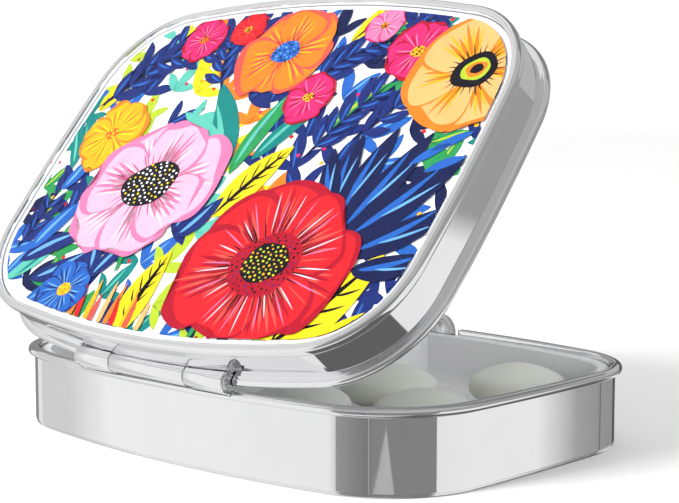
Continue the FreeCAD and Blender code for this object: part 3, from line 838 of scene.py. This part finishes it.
    def heart(self, x, y, rx, ry, angle, color, dots, rng, rim, count):
        """A dark dotted centre with fine rays round it."""
        self.layer()
        if rim:
            for i in range(26):
                a = 360 * i / 26 + rng.random() * 8
                t = math.radians(a)
                self.ink(rim, ribbon(x + rx * 0.7 * math.cos(t), y + ry * 0.7 * math.sin(t), a,
                                     (rx + ry) * (0.3 + 0.16 * rng.random()), 0.16, 10, 0.35, 5))
            self.layer()
        self.ink(color, oval(x, y, rx, ry, angle, 0.04, rng))
        self.layer()
        turn, golden_angle = math.radians(angle), 2.39996
        for i in range(count):
            r = math.sqrt((i + 0.5) / count) * 0.94
            t = i * golden_angle
            px, py = swing(x, y, rx * r * math.cos(t), ry * r * math.sin(t), turn)
            size = 0.12 + 0.07 * rng.random()
            self.ink(dots[i % len(dots)], oval(px, py, size, size * 0.85, 0, steps=8))


def artwork():
    """A dense garden of bold flowers and leaves on a white ground."""
    rng = random.Random(7)
    border = [(x, y) for x, y, _ in ring(-1.5, 0)][::3]
    art = Painting(border)
    art.ink("ground", border)
    paint_leaves(art, rng)
    paint_flowers(art, rng)
    bmesh.ops.triangulate(art.bm, faces=art.bm.faces, ngon_method="EAR_CLIP")
    for vert in art.bm.verts:
        vert.co.z = PRINT_Z + 0.003 + INK_STACK * vert.co.z / art.level
    mesh = bpy.data.meshes.new("printed_picture")
    art.bm.to_mesh(mesh)
    art.bm.free()
    mesh.transform(Matrix.Scale(MM, 4) @ LID_TURN)
    for name in art.names:
        mesh.materials.append(ink_material(name))
    return add_object("printed_picture", mesh)


def undergrowth(art, rng):
    """A loose carpet of small leaves, strokes and dots that shows between the rest."""
    tones = ("navy", "navy", "blue", "deep_navy", "green", "navy", "teal", "blue", "lime",
             "navy", "mint", "yellow", "orange", "navy")
    step, count = 4.3, 0
    for row in range(-5, 6):
        for column in range(-7, 8):
            x = column * step + (row % 2) * step / 2 + 1.6 * (rng.random() - 0.5)
            y = row * step + 1.6 * (rng.random() - 0.5)
            angle = 62 + 34 * math.sin(x * 0.21 + y * 0.13) + 70 * (rng.random() - 0.5)
            color = tones[count % len(tones)]
            count += 1
            art.layer()
            for turn, length in ((0, 5.2), (48, 3.9), (-46, 3.9)):
                grow = length * (0.85 + 0.3 * rng.random())
                art.ink(color, ribbon(x, y, angle + turn, grow, grow * 0.33, 30 * turn / 48, 0.5))
            if color in ("navy", "blue", "green", "teal"):
                art.layer()
                light = {"navy": "blue", "blue": "sky", "green": "lime", "teal": "mint"}[color]
                art.ink(light, ribbon(x, y, angle + 4, 4.0, 0.3, 6, 0.5, 8))
            art.ink(("red", "magenta", "gold")[count % 3],
                    oval(x + 1.9 * math.sin(count), y - 1.8 * math.cos(count), 0.28, 0.24, 0,
                         steps=9))


def paint_leaves(art, rng):
    """Everything that lies behind the flowers."""
    undergrowth(art, rng)
    # long teal and green leaves of the middle
    for x, y, angle, length, width, bend, color, light in (
            (-1.5, -2.5, 112, 15.5, 3.6, 22, "teal", "mint"),
            (-0.5, -1.5, 88, 13.0, 2.6, -34, "green", "mint"),
            (-2.5, -1.0, 132, 12.5, 2.8, 26, "mint", "teal"),
            (1.5, 0.5, 62, 10.0, 2.4, -20, "teal", "mint"),
            (9.5, 4.5, 60, 9.5, 1.6, -30, "green", "lime"),
            (-12.5, -12.0, 250, 7.5, 2.0, 24, "green", "mint"),
            (-20.0, -11.0, 238, 8.5, 2.2, -20, "mint", "teal"),
            (-25.5, -2.0, 112, 8.0, 1.8, 16, "teal", "mint"),
            (20.0, 16.0, 30, 9.0, 2.2, -26, "lime", "green")):
        art.layer()
        art.leaf(x, y, angle, length, width, bend, color, None, light)
    # yellow leaves with black veins
    for x, y, angle, length, width, bend in (
            (15.0, -22.0, 44, 16.5, 6.2, 18), (-3.2, -21.5, 96, 10.5, 4.0, -26),
            (0.6, -6.8, 66, 11.0, 4.2, -18), (21.5, -20.5, 36, 9.0, 3.4, 12),
            (-27.0, 6.0, 74, 7.0, 2.6, -24), (6.0, 16.0, 50, 8.5, 3.0, 16)):
        art.layer()
        art.leaf(x, y, angle, length, width, bend, "yellow", "black", None)
    # navy sprays
    for spec in ((-27.5, 6.5, 42, 15.0, 26, 5, 5.0), (-24.0, 12.5, 20, 13.5, -18, 5, 4.2),
                 (-9.0, 9.5, 128, 8.5, -40, 4, 3.8), (3.5, 10.0, 58, 11.0, -46, 5, 4.0),
                 (8.5, 1.0, 66, 11.5, -18, 5, 4.3), (13.5, 3.5, 44, 9.5, 30, 4, 3.8),
                 (-26.5, -13.0, 66, 7.5, 34, 4, 3.6), (-6.0, 16.5, 162, 7.0, 20, 3, 3.2),
                 (19.5, 17.0, 175, 7.5, -26, 3, 3.0), (12.0, 17.2, 20, 6.0, 20, 3, 2.8)):
        art.spray(*spec, "navy", "blue", "deep_navy", rng)
    # the big navy fan at the right
    for x, y, angle, length, width, bend in (
            (20.0, -9.5, 20, 13.0, 3.3, 26), (19.0, -8.0, 40, 14.5, 3.8, 16),
            (18.0, -7.5, 62, 13.5, 3.6, 10), (17.0, -7.0, 84, 12.5, 3.2, -6),
            (16.5, -6.5, 106, 11.0, 3.0, -16), (22.0, -11.0, 2, 9.5, 2.8, 30),
            (16.0, -5.0, 128, 8.5, 2.6, -22)):
        art.layer()
        art.leaf(x, y, angle, length, width, bend, "deep_navy", None, "blue")
        art.layer()
        hx, hy, ha = midline(x, y, angle, length, bend, 0.3)
        art.ink("sky", ribbon(hx, hy, ha - 7, length * 0.45, width * 0.1, bend * 0.4, 0.4))
    art.layer()
    for x, y, angle in ((27.0, 7.0, 200), (28.0, 5.0, 205), (26.0, 3.6, 210), (28.6, 2.2, 200)):
        art.ink("blue", ribbon(x, y, angle, 4.6, 1.1, 14, 0.5))
    # blue leaf fans near the hinge
    for x, y, angle, length, width, bend, color in (
            (-24.5, -14.5, 40, 9.5, 2.6, -30, "navy"), (-24.0, -13.0, 68, 8.5, 2.4, -22, "blue"),
            (-21.0, -16.5, 20, 9.5, 2.4, 22, "navy"), (-20.0, -19.5, 34, 9.0, 2.2, 22, "blue"),
            (-12.5, -15.0, 100, 6.5, 2.0, 30, "navy"), (-12.0, -15.5, 66, 7.0, 2.2, -20, "navy"),
            (-3.8, -9.0, 74, 7.5, 2.8, -14, "navy"), (-3.0, -9.5, 44, 6.5, 2.4, 22, "navy"),
            (-4.6, -8.0, 108, 5.5, 2.2, 14, "deep_navy"), (-25.0, -5.0, 60, 6.5, 2.0, 24, "blue")):
        art.layer()
        art.leaf(x, y, angle, length, width, bend, color, None, "sky")
    # grass along the hinge edge
    art.layer()
    for i in range(15):
        x = -17.5 + i * 1.15 + rng.random() * 0.7
        color = ("orange", "red", "gold", "coral", "apricot")[i % 5]
        art.ink(color, ribbon(x, -21.5, 92 + 30 * (rng.random() - 0.5), 4.2 + 3.2 * rng.random(),
                              0.75, 30 * (rng.random() - 0.5), 0.4, 8))
    # stems
    art.layer()
    for x, y, angle, length, bend in ((-8.5, -14.5, 100, 9.0, 16), (6.5, -21.5, 78, 6.0, 14)):
        art.ink("green", ribbon(x, y, angle, length, 0.7, bend, 0.4, tail=0.5))


def paint_flowers(art, rng):
    """Large and small blooms in front of the leaves."""
    art.flower(-22.2, 2.9, 4.6, 7, 12, ("gold", "orange", "yellow"), rng, 0.75, 5)
    art.heart(-22.2, 2.9, 1.0, 0.8, 20, "orange", ("yellow", "red"), rng, None, 14)
    art.flower(-14.6, -17.2, 3.6, 7, 30, ("blue", "navy", "sky"), rng, 0.8, 5)
    art.heart(-14.6, -17.2, 1.0, 0.8, 0, "gold", ("orange", "yellow"), rng, None, 12)
    for x, y, r, n, tones, core in ((15.9, 14.6, 3.7, 6, ("magenta", "crimson", "rose"), "gold"),
                                    (4.6, 8.6, 3.0, 5, ("magenta", "crimson", "rose"), "gold"),
                                    (-16.4, 16.4, 2.9, 6, ("magenta", "crimson", "rose"), "orange"),
                                    (-10.2, 17.8, 2.2, 5, ("red", "crimson", "coral"), "yellow"),
                                    (9.6, 18.0, 2.2, 5, ("rose", "magenta", "pink"), "gold")):
        art.flower(x, y, r, n, 20 * r, tones, rng, 0.9, 5)
        art.heart(x, y, r * 0.24, r * 0.2, 0, core, ("black", "red"), rng, None, 9)
    # orange flower of the upper middle
    art.flower(-2.4, 14.6, 6.4, 6, 25, ("orange", "coral", "gold"), rng, 1.0, 9, 0.8)
    art.heart(-2.4, 14.6, 1.9, 1.5, 8, "blue", ("sky", "deep_navy"), rng, "crimson", 26)
    # orange flower of the upper right, with an eye
    art.flower(24.3, 12.2, 7.4, 6, 5, ("apricot", "orange", "gold"), rng, 1.0, 9, 0.92)
    art.heart(24.3, 12.2, 2.6, 2.2, 15, "black", ("deep_navy", "black"), rng, "black", 20)
    art.layer()
    art.ink("lime", oval(24.4, 12.3, 1.65, 1.35, 15, 0.05, rng))
    art.layer()
    art.ink("orange", oval(24.45, 12.35, 1.2, 0.95, 15, 0.06, rng))
    art.layer()
    art.ink("black", oval(24.5, 12.4, 0.75, 0.6, 15, 0.05, rng))
    # pink flower
    art.flower(-11.4, -3.6, 9.2, 7, 14, ("pink", "rose", "blush"), rng, 0.98, 13, 0.86, 6)
    art.heart(-11.2, -3.4, 3.9, 2.9, 18, "black", ("white", "white", "yellow"), rng, "magenta", 80)
    # poppy
    art.flower(11.4, -11.6, 10.2, 7, -8, ("red", "crimson", "coral"), rng, 0.98, 13, 0.86, 4)
    art.layer()
    for i in range(40):
        a = 9 * i + 5 * rng.random()
        r0 = 3.4 + rng.random() * 1.2
        t = math.radians(a)
        art.ink(("blush", "coral", "rose")[i % 3],
                ribbon(11.4 + r0 * math.cos(t), -11.6 + 0.86 * r0 * math.sin(t), a,
                       3.6 + 1.8 * rng.random(), 0.16, 14 * (rng.random() - 0.5), 0.5, 6))
    art.heart(11.4, -11.6, 4.4, 3.7, 10, "crimson", ("black", "black", "plum"), rng, "black", 110)
    art.heart(11.4, -11.4, 2.9, 2.3, 10, "black", ("lime", "yellow", "gold"), rng, None, 60)


def place(obj, mat, body, *nodes):
    """Paints a piece, rides it on its body and stands it in for its CAD nodes."""
    paint(obj, mat)
    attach(obj, body)
    if nodes:
        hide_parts(*nodes)


place(base_band(), CHROME, "base", "base_band")
place(base_floor(), CHROME_PLATE, "base", "base_floor")
place(knuckle("knuckle_left", BARREL_L, MID_L - KNUCKLE_GAP, BASE_LEAF), CHROME_HINGE,
      "base", "hinge_knuckle_left")
place(knuckle("knuckle_right", MID_R + KNUCKLE_GAP, BARREL_R, BASE_LEAF), CHROME_HINGE,
      "base", "hinge_knuckle_right")
place(turn_with_lid(knuckle("knuckle_middle", MID_L, MID_R, LID_LEAF)), CHROME_HINGE,
      "lid", "hinge_knuckle_middle")
place(hinge_pin(), PIN_STEEL, "base", "hinge_pin")
for number in range(1, 5):
    place(tablet(number), TABLET, "base", "tablet_%d" % number)
place(lid_band(), CHROME, "lid", "lid_band")
place(lid_bezel(), CHROME, "lid", "lid_bezel")
place(lid_plate(), CHROME, "lid", "lid_plate")
place(picture_card(), CARD, "lid", "picture_plate")
place(clear_dome(), RESIN, "lid", "clear_dome")
picture = artwork()
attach(picture, "lid")
place(latch_tongue(), STEEL, "latch", "latch_tongue")
place(push_button(), CHROME, "latch", "push_button")
paint(frame["nodes"]["tray"], TRAY)
for node in ("latch_foot", "latch_rivet_left", "latch_rivet_right"):
    paint(frame["nodes"][node], STEEL)


# ---- stage
def floor_sweep():
    """Pale floor that rises gently into a round backdrop."""
    flat, curve, height = 700, 500, 1600
    profile = [(-0.02, r) for r in (0, 60, 150, 300, 500, flat)]
    for i in range(1, 17):
        t = math.radians(90 * i / 16)
        profile.append((curve * (1 - math.cos(t)), flat + curve * math.sin(t)))
    profile.append((height, flat + curve))
    return finish_mesh(turned(profile, 96, upright()), "floor_sweep")


def pale_floor():
    """Matt white with painted light: the colour is made lighter away from the object, standing in
    for the lamp light that falls off towards the backdrop.
    """
    mat, tree, shader = material("pale_floor", (0.86, 0.86, 0.86), 0.9)
    where = tree.nodes.new("ShaderNodeTexCoord")
    reach = tree.nodes.new("ShaderNodeVectorMath")
    reach.operation = "LENGTH"
    tree.links.new(where.outputs["Object"], reach.inputs[0])
    # painted light: the base colour rises from 0.86 near the object to 0.97 towards the backdrop
    tint(tree, shader, remap(tree, reach.outputs["Value"], 0.25, 0.8, 0.0, 1.0),
         (0.86, 0.86, 0.86), (0.97, 0.97, 0.97))
    return mat


floor = paint(floor_sweep(), pale_floor())
floor.visible_glossy = False

world = bpy.data.worlds.new("studio")
bpy.context.scene.world = world
world.use_nodes = True
world.node_tree.nodes["Background"].inputs["Color"].default_value = (1, 1, 1, 1)
world.node_tree.nodes["Background"].inputs["Strength"].default_value = 0.5


def lamp(name, size, power, where, target):
    """A soft area light aimed at a point, not mirrored by the plating."""
    data = bpy.data.lights.new(name, "AREA")
    data.shape = "RECTANGLE"
    data.size, data.size_y = size
    data.energy = power
    obj = add_object(name, data)
    obj.location = where
    obj.rotation_euler = (Vector(target) - Vector(where)).to_track_quat("-Z", "Y").to_euler()
    obj.visible_glossy = False


lamp("key", (0.34, 0.34), 11.0, (-0.2, -0.74, 0.49), (0, 0, 0.01))
lamp("side", (0.5, 0.35), 1.3, (0.6, -0.32, 0.27), (0.01, 0, 0.01))
lamp("top", (0.9, 0.9), 1.2, (0.0, 0.2, 0.95), (0, 0, 0))


def glow_by_vertex(obj, levels):
    """Makes an object shine with a brightness per vertex, for polished metal only."""
    layer = obj.data.color_attributes.new("level", "FLOAT_COLOR", "POINT")
    for entry, level in zip(layer.data, levels):
        entry.color = (level, level, level, 1)
    mat, nodes, links, out = bare_material(obj.name)
    glow = nodes.new("ShaderNodeEmission")
    read = nodes.new("ShaderNodeVertexColor")
    read.layer_name = "level"
    links.new(read.outputs["Color"], glow.inputs["Color"])
    links.new(glow.outputs["Emission"], out.inputs["Surface"])
    paint(obj, mat)
    for kind in ("camera", "diffuse", "shadow", "transmission", "volume_scatter"):
        setattr(obj, "visible_" + kind, False)


CARD_RADIUS = 450
RIGHT_LOW_TOP, RIGHT_HIGH_FOOT = -34, -18


def round_point(azimuth, radius):
    """Place at an azimuth in degrees, 0 being the hinge side, counted towards +X."""
    a = math.radians(azimuth)
    return radius * math.sin(a), -radius * math.cos(a)


def curved_card(name, start, end, low, high, steps):
    """A curved card round the object, as low and high vertices by turns."""
    bm = bmesh.new()
    verts = []
    for i in range(steps + 1):
        x, y = round_point(start + (end - start) * i / steps, CARD_RADIUS)
        verts.append([bm.verts.new((x, y, z)) for z in (low, high)])
    for one, two in zip(verts, verts[1:]):
        bm.faces.new((one[0], two[0], two[1], one[1]))
    return finish_mesh(bm, name)


def azimuth_card(name, start, end, low, high, brightness, end_brightness):
    """A curved card whose brightness runs from end to end."""
    steps = max(2, int(abs(end - start) / 2))
    obj = curved_card(name, start, end, low, high, steps)
    levels = []
    for i in range(steps + 1):
        levels += [brightness + (end_brightness - brightness) * i / steps] * 2
    glow_by_vertex(obj, levels)
    return obj


def bridge_card():
    """Bridges the bright lower and the grey upper part of the right-hand cards."""
    steps = 19
    obj = curved_card("card_right_bridge", 88, 152, RIGHT_LOW_TOP, RIGHT_HIGH_FOOT, steps)
    glow_by_vertex(obj, [0.92, 0.36] * (steps + 1))
    return obj


def plain_card(name, corners, brightness):
    """A card of one face and one brightness."""
    bm = bmesh.new()
    bm.faces.new([bm.verts.new(p) for p in corners])
    obj = finish_mesh(bm, name)
    glow_by_vertex(obj, [brightness] * len(corners))
    return obj


def wedge_card():
    """A slanting light wedge on the front right, widening downwards."""
    corners = [(*round_point(azimuth, CARD_RADIUS - 10), z)
               for azimuth, z in ((39.8, -83), (40.6, -83), (49.2, -109), (25.8, -109))]
    return plain_card("card_wedge", corners, 0.5)


def level_card(name, x0, x1, y0, y1, z, brightness):
    """A level card under the object, below the floor."""
    return plain_card(name, ((x0, y0, z), (x1, y0, z), (x1, y1, z), (x0, y1, z)), brightness)


# what the plating mirrors, from the left end round the front to the right wall:
# start and end azimuth, lower and upper height in millimetres, brightness at each end
AROUND = {
    "left_dark": (-146, -97, -260, 260, 0.27, 0.27),
    "left_line": (-97, -83, -400, 170, 0.85, 0.85),
    "left_soft": (-83, -66, -400, 170, 0.68, 0.7),
    "left_rise": (-66, -58, -400, 170, 0.7, 0.94),
    "left_bright": (-58, -17, -400, 170, 0.97, 0.92),
    "left_fade": (-17, -9, -400, 170, 0.92, 0.7),
    "front_dark": (-9, 23.4, -400, 120, 0.34, 0.21),
    "front_line": (23.4, 24.5, -400, 120, 0.42, 0.42),
    "front_gap": (24.5, 26, -400, 120, 0.21, 0.21),
    "front_right": (26, 88, -400, 120, 0.25, 0.25),
    "right_low": (88, 140.3, -400, RIGHT_LOW_TOP, 0.88, 0.92),
    "right_fade": (140.3, 144.8, -400, RIGHT_LOW_TOP, 0.9, 0.44),
    "right_edge": (144.8, 151.4, -400, RIGHT_LOW_TOP, 0.4, 0.27),
    "right_line": (151.4, 152.4, -400, RIGHT_LOW_TOP, 0.04, 0.04),
    "right_high": (88, 152.4, RIGHT_HIGH_FOOT, 300, 0.36, 0.36),
    "far": (152.4, 186, -120, 90, 0.34, 0.3),
    "far_dark": (186, 214, -120, 90, 0.1, 0.1),
    "behind_high": (150, 230, 260, 1500, 0.24, 0.24),
    "left_high": (-130, -30, 200, 1200, 0.82, 0.82),
}
cards = [azimuth_card("card_" + name, *where) for name, where in AROUND.items()]
# glowing cards below the floor, seen only in the plating: card_below_dark is a painted reflection
# of the shaded floor next to the object, which the plating does not mirror
cards += [bridge_card(), wedge_card(),
          level_card("card_below", -2500, 2500, -2500, 2500, -430, 0.88),
          level_card("card_below_dark", -95, 330, -120, 700, -300, 0.13)]

# ---- camera
LENS, SENSOR = 90.99676, 36.0
AZIMUTH, ELEVATION, DISTANCE = math.radians(43.18), math.radians(6.33), 0.18913
TARGET = Vector((-0.00208, 0.00595, 0.01848))
camera_data = bpy.data.cameras.new("camera")
camera_data.sensor_width = SENSOR
camera_data.lens = LENS
camera_data.clip_start = 0.01
camera_data.clip_end = 10
camera = add_object("camera", camera_data)
away = Vector((math.sin(AZIMUTH) * math.cos(ELEVATION), -math.cos(AZIMUTH) * math.cos(ELEVATION),
               math.sin(ELEVATION)))
camera.location = TARGET + away * DISTANCE
camera.rotation_euler = (-away).to_track_quat("-Z", "Y").to_euler()
bpy.context.scene.camera = camera
bpy.context.scene.view_settings.view_transform = "Standard"
